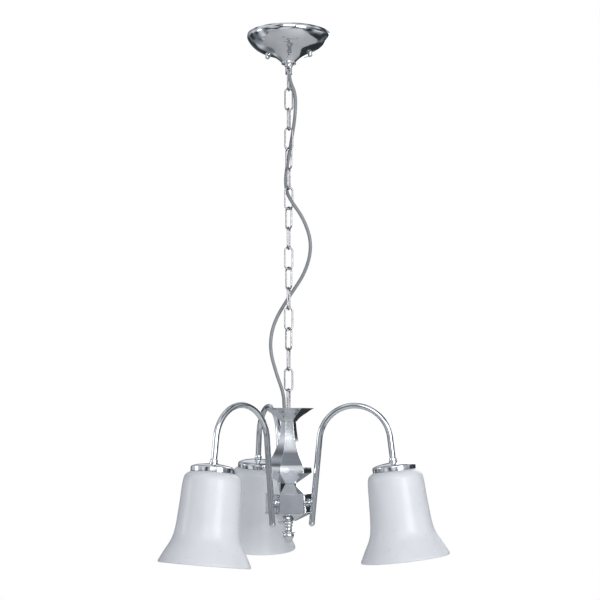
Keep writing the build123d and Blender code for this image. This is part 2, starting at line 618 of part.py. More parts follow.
def glass_shade():
    """Opal glass bell: flat top with the holder's hole, round shoulder, waist and flared, rolled lip."""
    h = GLASS_HEIGHT
    step = (GLASS_RIM - GLASS_WAIST) / 24.5
    lip_r = (GLASS_WALL + GLASS_LIP) / 2
    flare = math.radians(LIP_FLARE)
    slant = Vector(math.sin(flare), -math.cos(flare))
    outwards = Vector(math.cos(flare), math.sin(flare))
    lip = Vector(GLASS_RIM - lip_r, lip_r - h)
    side = [(GLASS_NECK, 0), (GLASS_SHOULDER - 3.0, -6.5), (GLASS_SHOULDER, -17),
            (GLASS_SHOULDER + 1.5, -h * 0.285), (GLASS_WAIST, -h * 0.455),
            (GLASS_WAIST + 2.2 * step, -h * 0.626), (GLASS_WAIST + 6 * step, -h * 0.735),
            (GLASS_WAIST + 10.2 * step, -h * 0.796), (GLASS_WAIST + 15.7 * step, -h * 0.864)]
    outer = Spline(*side, lip + outwards * lip_r)
    past_middle = GLASS_WALL - lip_r
    lip_end = lip - outwards * past_middle - slant * math.sqrt(lip_r ** 2 - past_middle ** 2)
    inner = Spline(*inner_points(outer, GLASS_WALL, 20)[:-1], lip_end)
    hole = HOLDER_RADIUS + 1.5
    inner_neck, inner_top = GLASS_NECK - GLASS_WALL, GLASS_TOP - GLASS_WALL
    crown = Polyline(inner @ 0, (inner_neck, -1), (inner_neck, inner_top), (hole, inner_top),
                     (hole, GLASS_TOP), (GLASS_NECK - 0.6, GLASS_TOP), (GLASS_NECK, GLASS_TOP - 0.6),
                     (GLASS_NECK, 0))
    rolled = ThreePointArc(outer @ 1, lip - Vector(0, lip_r), lip_end)
    return revolve(Plane.XZ * make_face([*crown.edges(), outer, rolled, inner]), Axis.Z)


def lamp_place():
    """Where a lamp's cap rim sits on arm 1."""
    path = arm_path(0)
    rim = path @ 1 + (path % 1) * (CAP_RIM + CAP_DOME)
    return Pos(rim.X, rim.Y, rim.Z) * Rot(Y=-LAMP_TILT)


# ---- build --------------------------------------------------------------------------------------
def main():
    os.makedirs("parts", exist_ok=True)
    slope_z = cap_nut_top()
    save("ceiling_bracket", ceiling_bracket())
    save("rose_studs", rose_studs(slope_z))
    save("rose_cap_nuts", rose_cap_nuts(slope_z))
    save("ceiling_rose", ceiling_rose())
    save("hanger_bush", hanger_bush())
    save("bush_nut", bush_nut())
    save("terminal_block", terminal_block())
    save("terminal_screws", terminal_screws())
    save("earth_screw", earth_screw())

    for index in range(LINK_COUNT):
        save(f"chain_link_{index + 1:02d}", chain_link(index))
    save("supply_cable", supply_cable())

    drum = hub_drum()
    save("top_eye", top_eye())
    save("top_cup", top_cup())
    save("vase_body", vase_body())
    save("hub_top_cover", hub_cover(HUB_TOP, WAIST))
    save("hub_drum", drum)
    save("hub_bottom_cover", hub_cover(HUB_BOTTOM, COLUMN_FOOT))
    save("centre_rod", centre_rod())
    save("rod_nuts", rod_nuts())
    save("finial", finial())

    save("arm_end_balls", around(arm_end_ball()))
    save("arm_connectors", around(arm_connector(arm_path(CAP_DOME), drum_block())))
    save("arm_nuts", around(arm_nut()))
    place = lamp_place()
    save("tube_collars", around(place * tube_collar()))
    save("screw_shells", around(place * screw_shell()))
    save("lamp_contacts", around(place * lamp_contact()))
    repeated = {"arm_tube": arm_tube(), "shade_cap": place * shade_cap(), "lampholder": place * lampholder(),
                "shade_ring": place * shade_ring(), "glass_shade": place * glass_shade()}
    for name, piece in repeated.items():
        for number, copy in enumerate(around(piece), start=1):
            save(f"{name}_{number}", copy)


main()
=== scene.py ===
"""Three-arm pendant chandelier: chain, flex, hexagonal column, bent tube arms and opal glass bells."""

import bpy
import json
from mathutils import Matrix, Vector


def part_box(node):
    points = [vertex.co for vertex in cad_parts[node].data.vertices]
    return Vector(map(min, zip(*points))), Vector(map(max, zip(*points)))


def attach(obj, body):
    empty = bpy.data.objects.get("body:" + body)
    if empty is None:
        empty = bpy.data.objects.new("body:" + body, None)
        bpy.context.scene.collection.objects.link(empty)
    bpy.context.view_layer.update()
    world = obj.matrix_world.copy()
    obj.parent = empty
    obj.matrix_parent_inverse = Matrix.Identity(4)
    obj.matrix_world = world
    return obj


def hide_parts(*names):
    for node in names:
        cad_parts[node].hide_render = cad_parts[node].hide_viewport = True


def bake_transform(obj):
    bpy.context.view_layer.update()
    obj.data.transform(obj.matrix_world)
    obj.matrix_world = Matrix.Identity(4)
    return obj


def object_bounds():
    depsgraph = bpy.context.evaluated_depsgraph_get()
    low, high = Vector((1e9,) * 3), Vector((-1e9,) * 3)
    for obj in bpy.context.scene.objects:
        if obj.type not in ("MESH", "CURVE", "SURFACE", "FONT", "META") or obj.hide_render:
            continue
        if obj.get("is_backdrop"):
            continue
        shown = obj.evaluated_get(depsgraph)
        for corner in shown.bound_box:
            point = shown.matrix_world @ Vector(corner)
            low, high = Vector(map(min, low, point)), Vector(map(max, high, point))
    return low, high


bl_info = {
    "name": "Multi arm chandelier",
    "version": (1, 0, 0),
    "blender": (4, 5, 0),
    "location": "3D View > Sidebar > Chandelier",
    "description": "Builds the visible pieces of a three-arm chandelier around its CAD frame",
    "category": "Add Mesh",
}

import json
import math

import bmesh
import bpy
import numpy as np
from bpy.props import FloatProperty, FloatVectorProperty, PointerProperty
from mathutils import Matrix, Vector

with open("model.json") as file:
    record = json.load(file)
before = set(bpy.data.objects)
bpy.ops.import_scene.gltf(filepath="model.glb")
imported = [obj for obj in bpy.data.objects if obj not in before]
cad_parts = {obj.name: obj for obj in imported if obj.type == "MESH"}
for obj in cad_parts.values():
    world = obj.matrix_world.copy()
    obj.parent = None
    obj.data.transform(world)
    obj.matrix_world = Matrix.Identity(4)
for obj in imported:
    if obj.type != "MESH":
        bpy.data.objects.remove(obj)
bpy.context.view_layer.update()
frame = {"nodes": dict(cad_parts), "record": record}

MM = 0.001
HEX = math.cos(math.radians(30))
ARMS = 3
SHARP_ANGLE = math.radians(24)
BALL_DROP = 1.2 * MM    # from a tube's foot down to the middle of its ball
BALL_EXTRA = 0.15 * MM  # how far a ball stands out past its tube
DRUM_LAP = 2 * MM       # how far covers and connectors reach in past the drum's flats
FLOOR_DROP = 0.7        # from the object's lowest point down to the floor
RECORD = frame["record"]
MOUNTS = {mount["name"]: mount for mount in RECORD["mounts"]}

# the flex's route, as it leaves the bush, winds round the chain and ends in the cup
CABLE_ROUTE = [
    (0.0009, 0.0002, -0.0695), (0.0017, -0.0003, -0.0835), (0.0129, -0.0027, -0.107),
    (0.0115, -0.0003, -0.145), (0.0040, 0.0112, -0.176), (-0.0024, 0.0104, -0.215),
    (-0.0083, 0.0092, -0.253), (-0.0052, 0.0054, -0.278), (0.0070, -0.0090, -0.298),
    (0.0290, -0.0058, -0.330), (0.0413, -0.0005, -0.373), (0.0287, 0.0069, -0.419),
    (-0.0039, 0.0153, -0.462), (-0.0280, 0.0029, -0.507), (-0.0324, -0.0060, -0.551),
    (-0.0197, -0.0087, -0.594), (-0.0071, -0.0080, -0.628), (-0.0063, -0.0071, -0.652),
    (-0.0044, -0.0069, -0.6732),
]

# the three ways that a link's flat faces, and which way each link from the bush down takes
EDGE, FACE, HALF = (math.radians(turn) for turn in (85.5, 25.5, -34.5))
STANCES = [EDGE, FACE] * 2 + [HALF, EDGE, FACE] * 4 + [EDGE]


def bottom(node):
    """Height of a CAD node's lowest point, in metres."""
    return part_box(node)[0].z


def top(node):
    """Height of a CAD node's highest point, in metres."""
    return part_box(node)[1].z


# ---- sizes and colours that a user would change ---------------------------------------------------
def length(name, description, millimetres):
    """A length property, given in millimetres and kept in metres."""
    return FloatProperty(name=name, description=description, default=millimetres * MM, unit="LENGTH",
                         precision=4, min=0.0)


def angle(name, description, degrees):
    """An angle property, given in degrees."""
    return FloatProperty(name=name, description=description, default=math.radians(degrees), unit="ROTATION")


def colour(name, description, value):
    """A colour property."""
    return FloatVectorProperty(name=name, description=description, default=value, subtype="COLOR",
                               size=3, min=0.0, max=1.0)


class HangingSizes(bpy.types.PropertyGroup):
    """Rose, chain and flex."""
    rose_radius: length("Rose radius", "Radius of the ceiling rose's rim", 72.5)
    rose_wall: length("Rose wall", "Thickness of the rose", 1.2)
    rose_mouth: length("Rose mouth", "Radius of the rose's small end", 9.5)
    link_wire: length("Link wire", "Diameter of the chain's wire", 3.0)
    link_bend: length("Link bend", "Radius of a link's ends, to the middle of the wire", 6.7)
    cable_diameter: length("Flex diameter", "Diameter of the supply flex", 6.0)
    eye_wire: length("Eye wire", "Diameter of the lower eye's wire", 3.4)
    eye_bend: length("Eye bend", "Radius of the lower eye, to the middle of its wire", 6.2)
    eye_collar: length("Eye collar", "Radius of the collar under the lower eye", 4.6)


class ColumnSizes(bpy.types.PropertyGroup):
    """Hexagonal pieces, each from the axis to a corner."""
    column_turn: angle("Column turn", "Direction of a flat of the vase and hub", -9.0)
    cup_turn: angle("Cup turn", "Direction of a flat of the cup", -17.0)
    cup_rim: length("Cup rim", "Corner of the cup's rim", 44.5)
    cup_foot: length("Cup foot", "Corner of the cup's foot", 13.5)
    cup_wall: length("Cup wall", "Thickness of the cup", 1.2)
    cup_floor: length("Cup floor", "Thickness of the cup's floor", 2.5)
    vase_top: length("Vase top", "Corner of the vase's narrow top", 12.8)
    vase_edge: length("Vase edge", "Corner of the vase's widest edge", 40.3)
    vase_height: length("Vase height", "From the vase's top down to its widest edge", 86.5)
    waist: length("Waist", "Corner of the narrow waist between vase and hub", 13.7)
    hub_edge: length("Hub edge", "Corner of the hub's covers", 40.8)
    hub_overhang: length("Hub overhang", "How far the covers stand out past the drum", 1.5)
    hub_band: length("Hub band", "Height of the upright edge of a cover", 1.5)


class ArmSizes(bpy.types.PropertyGroup):
    """Bent tube arms and their connectors."""
    tube_radius: length("Tube radius", "Radius of an arm's tube", 5.0)
    foot_radius: length("Foot distance", "Distance of a tube's foot from the axis", 40.2973)
    lean: angle("Arm lean", "How far the inner leg leans outwards", 5.5)
    inner_leg: length("Inner leg", "Length of the inner leg", 143.0)
    bend: length("Arm bend", "Radius of the crook, to the middle of the tube", 60.5)
    outer_leg: length("Outer leg", "Length of the outer leg, down to the cap", 42.0)
    connector_above: length("Connector height", "Height of the connector above the arm's foot", 33.0)
    connector_radius: length("Connector radius", "Radius of the connector's neck", 4.5)
    connector_flange: length("Connector flange", "Radius of the connector's flange", 7.0)


class LampSizes(bpy.types.PropertyGroup):
    """Cap, lampholder and glass of one lamp."""
    tilt: angle("Lamp tilt", "How far a lamp leans outwards", 7.0)
    cap_radius: length("Cap radius", "Radius of the cap over the glass", 36.3)
    cap_rim: length("Cap rim", "Height of the cap's upright rim", 8.0)
    cap_dome: length("Cap dome", "Height of the cap's dome above its rim", 6.0)
    cap_wall: length("Cap wall", "Thickness of the cap", 1.2)
    collar_radius: length("Collar radius", "Radius of the collar on the cap", 7.0)
    holder_radius: length("Holder radius", "Radius of the lampholder", 19.5)
    holder_length: length("Holder length", "Length of the lampholder below the cap's rim", 38.0)
    glass_wall: length("Glass wall", "Thickness of the glass", 3.0)
    glass_neck: length("Glass neck", "Radius of the glass at the cap", 34.5)
    glass_shoulder: length("Glass shoulder", "Radius of the glass under its shoulder", 46.8)
    glass_waist: length("Glass waist", "Radius of the glass at mid height", 49.8)
    glass_rim: length("Glass rim", "Radius of the glass's flared rim", 74.3)
    glass_height: length("Glass height", "From the cap's rim to the glass's lip", 147.0)
    glass_rise: length("Glass rise", "How far the glass rises into the cap", 4.0)


class Finishes(bpy.types.PropertyGroup):
    """Colours of the finishes."""
    chrome: colour("Chrome", "Polished plate on the column and arms", (0.70, 0.72, 0.74))
    chain: colour("Chain", "Bright plated wire", (0.40, 0.40, 0.42))
    opal: colour("Opal glass", "Satin white glass", (0.83, 0.85, 0.89))
    flex: colour("Flex", "Sheath of the supply flex", (0.30, 0.31, 0.33))
    zinc: colour("Zinc", "Zinc plated steel", (0.56, 0.57, 0.58))
    brass: colour("Brass", "Screws, shells and contacts", (0.72, 0.52, 0.22))
    plastic: colour("Plastic", "White moulded lampholders and terminal block", (0.83, 0.83, 0.80))


# ---- materials ------------------------------------------------------------------------------------
def set_inputs(node, **values):
    """Set a node's named inputs, where an underscore stands for a space, and give the node back."""
    for name, value in values.items():
        node.inputs[name.replace("_", " ")].default_value = value
    return node


def set_ramp(ramp, stops):
    """Set a colour ramp's stops from (place, colour) pairs."""
    for place, _ in stops[2:]:
        ramp.color_ramp.elements.new(place)
    for stop, (place, tone) in zip(ramp.color_ramp.elements, stops):
        stop.position = place
        stop.color = (*tone, 1)


def shader(name, **values):
    """A new material, its shader with inputs set, and coordinates in the row frame."""
    material = bpy.data.materials.new(name)
    material.use_nodes = True
    tree = material.node_tree
    place = tree.nodes.new("ShaderNodeTexCoord").outputs["Object"]
    return material, set_inputs(tree.nodes["Principled BSDF"], **values), place


def noise(coordinates, scale, detail=3.0, stretch=(1, 1, 1)):
    """Noise per metre, stretched along the axes where asked."""
    tree = coordinates.id_data
    mapping = set_inputs(tree.nodes.new("ShaderNodeMapping"), Scale=stretch)
    texture = set_inputs(tree.nodes.new("ShaderNodeTexNoise"), Scale=scale, Detail=detail)
    tree.links.new(coordinates, mapping.inputs["Vector"])
    tree.links.new(mapping.outputs["Vector"], texture.inputs["Vector"])
    return texture.outputs["Fac"]


def roughen(value, low, high, bsdf):
    """Roughness from low to high over a texture's middle range."""
    tree = bsdf.id_data
    scale = set_inputs(tree.nodes.new("ShaderNodeMapRange"), From_Min=0.3, From_Max=0.7,
                       To_Min=low, To_Max=high)
    tree.links.new(value, scale.inputs["Value"])
    tree.links.new(scale.outputs["Result"], bsdf.inputs["Roughness"])


def tint(value, plain, worn, bsdf):
    """Drift of the base colour between two tones."""
    tree = bsdf.id_data
    ramp = tree.nodes.new("ShaderNodeValToRGB")
    set_ramp(ramp, ((0.32, worn), (0.62, plain)))
    tree.links.new(value, ramp.inputs["Fac"])
    tree.links.new(ramp.outputs["Color"], bsdf.inputs["Base Color"])


def relief(value, distance, strength, bsdf):
    """Bump of a real height, in metres."""
    tree = bsdf.id_data
    bump = set_inputs(tree.nodes.new("ShaderNodeBump"), Distance=distance, Strength=strength)
    tree.links.new(value, bump.inputs["Height"])
    tree.links.new(bump.outputs["Normal"], bsdf.inputs["Normal"])


def darker(value, share):
    """A colour with its brightness lowered to a share."""
    return [channel * share for channel in value]


def chrome_finish(value):
    """Polished chrome plate with faint wipe marks and an almost flat surface."""
    material, bsdf, place = shader("polished_chrome", Metallic=1.0)
    tint(noise(place, 35, 4), value, darker(value, 0.90), bsdf)
    roughen(noise(place, 60, 5, (1, 1, 0.25)), 0.045, 0.13, bsdf)
    relief(noise(place, 45, 2), 0.0004, 0.06, bsdf)
    return material


def chain_finish(value):
    """Bright wire with drawing marks and a little dulling where links rub."""
    material, bsdf, place = shader("plated_wire", Metallic=1.0)
    tint(noise(place, 160, 4), value, darker(value, 0.72), bsdf)
    roughen(noise(place, 420, 4, (1, 1, 0.12)), 0.10, 0.26, bsdf)
    relief(noise(place, 900, 3, (1, 1, 0.1)), 0.00005, 0.25, bsdf)
    return material


def opal_finish(value):
    """Satin opal glass: light goes a little way into it, and the surface has a soft etch."""
    material, bsdf, place = shader(
        "satin_opal_glass", IOR=1.5, Subsurface_Weight=0.35, Subsurface_Radius=(1.0, 1.0, 0.95),
        Subsurface_Scale=0.006)
    tint(noise(place, 22, 3), value, darker(value, 0.965), bsdf)
    roughen(noise(place, 90, 4), 0.26, 0.38, bsdf)
    relief(noise(place, 2200, 2), 0.00003, 0.15, bsdf)
    return material


def flex_finish(value):
    """PVC sheath with a faint grain and handling marks."""
    material, bsdf, place = shader("grey_flex_sheath", IOR=1.52)
    tint(noise(place, 70, 4), value, darker(value, 0.86), bsdf)
    roughen(noise(place, 300, 4), 0.34, 0.48, bsdf)
    relief(noise(place, 1500, 3), 0.00006, 0.3, bsdf)
    return material


def zinc_finish(value):
    """Zinc plate with soft spangle."""
    material, bsdf, place = shader("zinc_plate", Metallic=1.0)
    spangle = set_inputs(material.node_tree.nodes.new("ShaderNodeTexVoronoi"), Scale=320)
    material.node_tree.links.new(place, spangle.inputs["Vector"])
    tint(spangle.outputs["Distance"], value, darker(value, 0.80), bsdf)
    roughen(noise(place, 240, 4), 0.28, 0.44, bsdf)
    relief(noise(place, 800, 3), 0.00004, 0.3, bsdf)
    return material


def brass_finish(value):
    """Plain brass, a little tarnished in patches."""
    material, bsdf, place = shader("plain_brass", Metallic=1.0)
    tint(noise(place, 130, 4), value, darker(value, 0.74), bsdf)
    roughen(noise(place, 260, 4), 0.18, 0.34, bsdf)
    relief(noise(place, 900, 3), 0.00004, 0.25, bsdf)
    return material


def plastic_finish(value):
    """Moulded white plastic with the mould's fine spark texture."""
    material, bsdf, place = shader("moulded_white_plastic", IOR=1.5)
    tint(noise(place, 45, 3), value, darker(value, 0.95), bsdf)
    roughen(noise(place, 180, 3), 0.36, 0.48, bsdf)
    relief(noise(place, 2600, 2), 0.00004, 0.3, bsdf)
    return material


# finish name: the record's slot, the material's maker and its colour property
FINISHES = {
    "chrome": ("chrome", chrome_finish, "chrome"),
    "chain": ("chain_chrome", chain_finish, "chain"),
    "opal": ("opal_glass", opal_finish, "opal"),
    "flex": ("grey_pvc", flex_finish, "flex"),
    "zinc": ("zinc_steel", zinc_finish, "zinc"),
    "brass": ("brass", brass_finish, "brass"),
    "plastic": ("white_plastic", plastic_finish, "plastic"),
}
MADE = {}


def material_of(finish):
    """The material of a finish, made once."""
    if finish not in MADE:
        _, make, name = FINISHES[finish]
        MADE[finish] = make(list(getattr(bpy.context.scene.chandelier_finishes, name)))
    return MADE[finish]


# ---- mesh helpers ---------------------------------------------------------------------------------
def smooth_line(points, steps=8, start=None, end=None):
    """Points on a smooth cubic curve through the given ones; start and end set its directions."""
    p = np.array(points, float)
    run = np.linalg.norm(np.diff(p, axis=0), axis=1)
    slope = np.diff(p, axis=0) / run[:, None]
    count = len(p)
    known = np.zeros((count, 2))
    matrix = np.zeros((count, count))
    for i in range(1, count - 1):
        matrix[i, i - 1:i + 2] = run[i], 2 * (run[i - 1] + run[i]), run[i - 1]
        known[i] = 3 * (run[i] * slope[i - 1] + run[i - 1] * slope[i])
    for row, beside, given, near in ((0, 1, start, slope[0]), (count - 1, count - 2, end, slope[-1])):
        matrix[row, row] = 2 if given is None else 1
        matrix[row, beside] = 1 if given is None else 0
        known[row] = 3 * near if given is None else np.array(given) / np.linalg.norm(given)
    tangent = np.linalg.solve(matrix, known)
    line = []
    for i in range(count - 1):
        for t in np.linspace(0, 1, steps, endpoint=False):
            line.append(p[i] * (2 * t**3 - 3 * t**2 + 1) + p[i + 1] * (3 * t**2 - 2 * t**3)
                        + run[i] * (tangent[i] * (t**3 - 2 * t**2 + t) + tangent[i + 1] * (t**3 - t**2)))
    return [tuple(v) for v in line] + [tuple(p[-1])]


def inside(line, wall):
    """The same line moved inwards by the wall, for a line that runs downwards."""
    p = np.array(line)
    along = np.gradient(p, axis=0)
    along /= np.linalg.norm(along, axis=1)[:, None]
    return [tuple(v) for v in p + wall * np.stack([along[:, 1], -along[:, 0]], axis=1)]


def arc(centre, radius, first, last, steps=10):
    """Points on an arc, with its ends in degrees."""
    turns = [math.radians(first + (last - first) * i / steps) for i in range(steps + 1)]
    return [(centre[0] + radius * math.cos(t), centre[1] + radius * math.sin(t)) for t in turns]


def lathe(outline, sides=96, turn=0.0, closed=False):
    """Mesh about Z from (radius, height) points in metres; six sides make a hexagonal piece."""
    mesh = bmesh.new()
    rings = []
    for radius, height in outline:
        count = 1 if radius < 1e-7 else sides
        turns = [turn + math.tau * i / sides for i in range(count)]
        rings.append([mesh.verts.new((radius * math.cos(t), radius * math.sin(t), height)) for t in turns])
    following = rings[1:] + (rings[:1] if closed else [])
    for upper, lower in zip(rings, following):
        for i in range(sides):
            j = (i + 1) % sides
            corners = [upper[i % len(upper)], upper[j % len(upper)],
                       lower[j % len(lower)], lower[i % len(lower)]]
            face = list(dict.fromkeys(corners))
            if len(face) > 2:
                mesh.faces.new(face)
    bmesh.ops.recalc_face_normals(mesh, faces=mesh.faces)
    return mesh


def hexagonal(flats, turn):
    """Closed hexagonal piece from (flat, height) points, top to bottom, with a flat facing the turn."""
    rings = [(flat / HEX, height) for flat, height in flats]
    ends = [(0, rings[0][1])] + rings + [(0, rings[-1][1])]
    return lathe(ends, sides=6, turn=turn + math.radians(30))


def settle(mesh, name, finish, body, nodes, edge=0.0):
    """Make a mesh a piece: its finish, smooth shading, eased edges, the body it rides on."""
    mesh.materials.clear()
    mesh.materials.append(material_of(finish))
    mesh.shade_smooth()
    mesh.set_sharp_from_angle(angle=SHARP_ANGLE)
    piece = bpy.data.objects.new(name, mesh)
    bpy.context.scene.collection.objects.link(piece)
    if edge:
        bevel = piece.modifiers.new("eased edges", "BEVEL")
        bevel.width = edge
        bevel.segments = 2
        bevel.limit_method = "ANGLE"
        bevel.angle_limit = SHARP_ANGLE
        bevel.harden_normals = True
    if body:
        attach(piece, body)
    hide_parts(*nodes)
    return piece


def piece_from(shape, name, finish, body, nodes, edge=0.0, place=None):
    """Turn a bmesh into a piece, in its place in the row frame."""
    if place is not None:
        shape.transform(place)
    mesh = bpy.data.meshes.new(name)
    shape.to_mesh(mesh)
    shape.free()
    return settle(mesh, name, finish, body, nodes, edge)


def finer_copy(node, name, finish, body, edge=0.0):
    """A welded, smoothly shaded copy of a CAD node with eased edges."""
    shape = bmesh.new()
    shape.from_mesh(frame["nodes"][node].data)
    bmesh.ops.remove_doubles(shape, verts=shape.verts, dist=1e-6)
    bmesh.ops.dissolve_limit(shape, angle_limit=math.radians(0.5), verts=shape.verts, edges=shape.edges)
    return piece_from(shape, name, finish, body, [node], edge)


def turned_by(index):
    """Turn about the axis to one of the arms."""
    return Matrix.Rotation(math.tau * index / ARMS, 4, "Z")


def on_each_arm(outline, sides, place, closed=False):
    """A turned shape for each arm, all in one bmesh; place gives the frame of an arm's copy."""
    whole = bmesh.new()
    for index in range(ARMS):
        one = lathe(outline, sides, closed=closed)
        one.transform(place(index))
        mesh = bpy.data.meshes.new("part")
        one.to_mesh(mesh)
        one.free()
        whole.from_mesh(mesh)
        bpy.data.meshes.remove(mesh)
    return whole


def lamp_place(index):
    """Frame of a lamp: its origin is the middle of the cap's rim, and -Z points along the lamp."""
    mount = MOUNTS["lamp_socket_1"]
    down = Vector(mount["axis"])
    sizes = bpy.context.scene.chandelier_lamps
    shell_middle = sizes.holder_length - MM - mount["dims"]["length_mm"] * MM / 2
    rim = Vector(mount["pos_m"]) - down * shell_middle
    return turned_by(index) @ Matrix.Translation(rim) @ Matrix.Rotation(-sizes.tilt, 4, "Y")


# ---- geometry node trees --------------------------------------------------------------------------
def node_tree(name, inputs):
    """A geometry tree with named inputs; gives the tree and its input and output nodes."""
    tree = bpy.data.node_groups.new(name, "GeometryNodeTree")
    tree.is_modifier = True
    tree.interface.new_socket("Geometry", in_out="INPUT", socket_type="NodeSocketGeometry")
    for label, kind in inputs:
        tree.interface.new_socket(label, in_out="INPUT", socket_type=kind)
    tree.interface.new_socket("Geometry", in_out="OUTPUT", socket_type="NodeSocketGeometry")
    return tree, tree.nodes.new("NodeGroupInput"), tree.nodes.new("NodeGroupOutput")


def finish_tree(tree, given, last, geometry):
    """End a tree: realize the instances, set the material, and send the result out."""
    real = tree.nodes.new("GeometryNodeRealizeInstances")
    coat = tree.nodes.new("GeometryNodeSetMaterial")
    tree.links.new(geometry, real.inputs["Geometry"])
    tree.links.new(real.outputs["Geometry"], coat.inputs["Geometry"])
    tree.links.new(given.outputs["Material"], coat.inputs["Material"])
    tree.links.new(coat.outputs["Geometry"], last.inputs["Geometry"])


def round_wire(tree, curve, radius, sides, caps):
    """Sweep a circle along a curve."""
    circle = set_inputs(tree.nodes.new("GeometryNodeCurvePrimitiveCircle"), Resolution=sides)
    sweep = set_inputs(tree.nodes.new("GeometryNodeCurveToMesh"), Fill_Caps=caps)
    tree.links.new(radius, circle.inputs["Radius"])
    tree.links.new(curve, sweep.inputs["Curve"])
    tree.links.new(circle.outputs["Curve"], sweep.inputs["Profile Curve"])
    return sweep.outputs["Mesh"]


def stand_on_points(tree, given, shape):
    """Stand a shape on each point, turned about Z by its turn attribute; gives it and its rotation node."""
    stance = tree.nodes.new("GeometryNodeInputNamedAttribute")
    stance.data_type = "FLOAT"
    set_inputs(stance, Name="turn")
    rotation = tree.nodes.new("ShaderNodeCombineXYZ")
    place = tree.nodes.new("GeometryNodeInstanceOnPoints")
    tree.links.new(given.outputs["Geometry"], place.inputs["Points"])
    tree.links.new(shape, place.inputs["Instance"])
    tree.links.new(stance.outputs["Attribute"], rotation.inputs["Z"])
    tree.links.new(rotation.outputs["Vector"], place.inputs["Rotation"])
    return place.outputs["Instances"], rotation


def chain_tree():
    """Oval links on points; each point's turn attribute says which way its link faces."""
    tree, given, last = node_tree("chain links", [
        ("Material", "NodeSocketMaterial"), ("Wire radius", "NodeSocketFloat"),
        ("Width", "NodeSocketFloat"), ("Length", "NodeSocketFloat"), ("Bend", "NodeSocketFloat")])
    new, link = tree.nodes.new, tree.links.new
    oval = new("GeometryNodeCurvePrimitiveQuadrilateral")
    rounded = new("GeometryNodeFilletCurve")
    rounded.mode = "POLY"
    set_inputs(rounded, Count=14, Limit_Radius=True)
    link(given.outputs["Width"], oval.inputs["Width"])
    link(given.outputs["Length"], oval.inputs["Height"])
    link(oval.outputs["Curve"], rounded.inputs["Curve"])
    link(given.outputs["Bend"], rounded.inputs["Radius"])
    wire = round_wire(tree, rounded.outputs["Curve"], given.outputs["Wire radius"], 18, False)
    links, upright = stand_on_points(tree, given, wire)
    set_inputs(upright, X=math.radians(90))
    finish_tree(tree, given, last, links)
    return tree


def tube_tree():
    """Round tube along a line of edges, turned about the axis."""
    tree, given, last = node_tree("bent tube", [
        ("Material", "NodeSocketMaterial"), ("Tube radius", "NodeSocketFloat"), ("Turn", "NodeSocketFloat")])
    line = tree.nodes.new("GeometryNodeMeshToCurve")
    about = tree.nodes.new("ShaderNodeCombineXYZ")
    move = tree.nodes.new("GeometryNodeTransform")
    tree.links.new(given.outputs["Geometry"], line.inputs["Mesh"])
    tube = round_wire(tree, line.outputs["Curve"], given.outputs["Tube radius"], 40, True)
    tree.links.new(given.outputs["Turn"], about.inputs["Z"])
    tree.links.new(tube, move.inputs["Geometry"])
    tree.links.new(about.outputs["Vector"], move.inputs["Rotation"])
    finish_tree(tree, given, last, move.outputs["Geometry"])
    return tree


def thread_tree():
    """Rolled thread: a bead wound at a steady pitch, one at each point, which carries its own turn."""
    tree, given, last = node_tree("rolled thread", [
        ("Material", "NodeSocketMaterial"), ("Bead", "NodeSocketFloat"), ("Radius", "NodeSocketFloat"),
        ("Height", "NodeSocketFloat"), ("Turns", "NodeSocketFloat"), ("Tilt", "NodeSocketFloat")])
    new, link = tree.nodes.new, tree.links.new
    coil = set_inputs(new("GeometryNodeCurveSpiral"), Resolution=40)
    link(given.outputs["Turns"], coil.inputs["Rotations"])
    link(given.outputs["Radius"], coil.inputs["Start Radius"])
    link(given.outputs["Radius"], coil.inputs["End Radius"])
    link(given.outputs["Height"], coil.inputs["Height"])
    bead = round_wire(tree, coil.outputs["Curve"], given.outputs["Bead"], 8, True)
    threads, lean = stand_on_points(tree, given, bead)
    link(given.outputs["Tilt"], lean.inputs["Y"])
    finish_tree(tree, given, last, threads)
    return tree


def grown(tree, points, values, edges=(), turns=()):
    """Run a tree on points and edges with its inputs set, and give the result as a plain mesh."""
    seed = bpy.data.meshes.new("seed")
    seed.from_pydata([tuple(p) for p in points], list(edges), [])
    if turns:
        seed.attributes.new("turn", "FLOAT", "POINT").data.foreach_set("value", turns)
    holder = bpy.data.objects.new("seed", seed)
    bpy.context.scene.collection.objects.link(holder)
    modifier = holder.modifiers.new("grow", "NODES")
    modifier.node_group = tree
    for item in tree.interface.items_tree:
        if item.in_out == "INPUT" and item.name in values:
            modifier[item.identifier] = values[item.name]
    depsgraph = bpy.context.evaluated_depsgraph_get()
    mesh = bpy.data.meshes.new_from_object(holder.evaluated_get(depsgraph), depsgraph=depsgraph)
    bpy.data.objects.remove(holder)
    return mesh


# ---- operators: one for each piece or group of like pieces ----------------------------------------
class CHANDELIER_OT_rose(bpy.types.Operator):
    """Spun ceiling rose with its two domed nuts"""
    bl_idname = "chandelier.rose"
    bl_label = "Ceiling rose"

    def execute(self, context):
        sizes = context.scene.chandelier_hanging
        r, d, wall, mouth = sizes.rose_radius, -bottom("ceiling_rose"), sizes.rose_wall, sizes.rose_mouth
        shares = [(1.01, 0.09), (0.965, 0.23), (0.885, 0.36), (0.77, 0.48), (0.63, 0.575), (0.47, 0.657),
                  (0.33, 0.75), (0.214, 0.88)]
        points = [(r, 0)] + [(r * out, -d * down) for out, down in shares] + [(mouth, -d)]
        outer = smooth_line(points, 8)
        floor_points = 6  # how many points at the inside's end the flat floor under the nut replaces
        inner = inside(outer, wall)[:-floor_points]
        bore, floor = 5.2 * MM, bottom("bush_nut")
        outline = outer + [(bore, -d), (bore, floor), (inner[-1][0], floor)] + inner[::-1]
        piece_from(lathe(outline, 128, closed=True), "rose_cover", "chrome", "ceiling", ["ceiling_rose"],
                   0.3 * MM)
        finer_copy("rose_cap_nuts", "rose_domed_nuts", "chrome", "ceiling", 0.2 * MM)
        return {"FINISHED"}


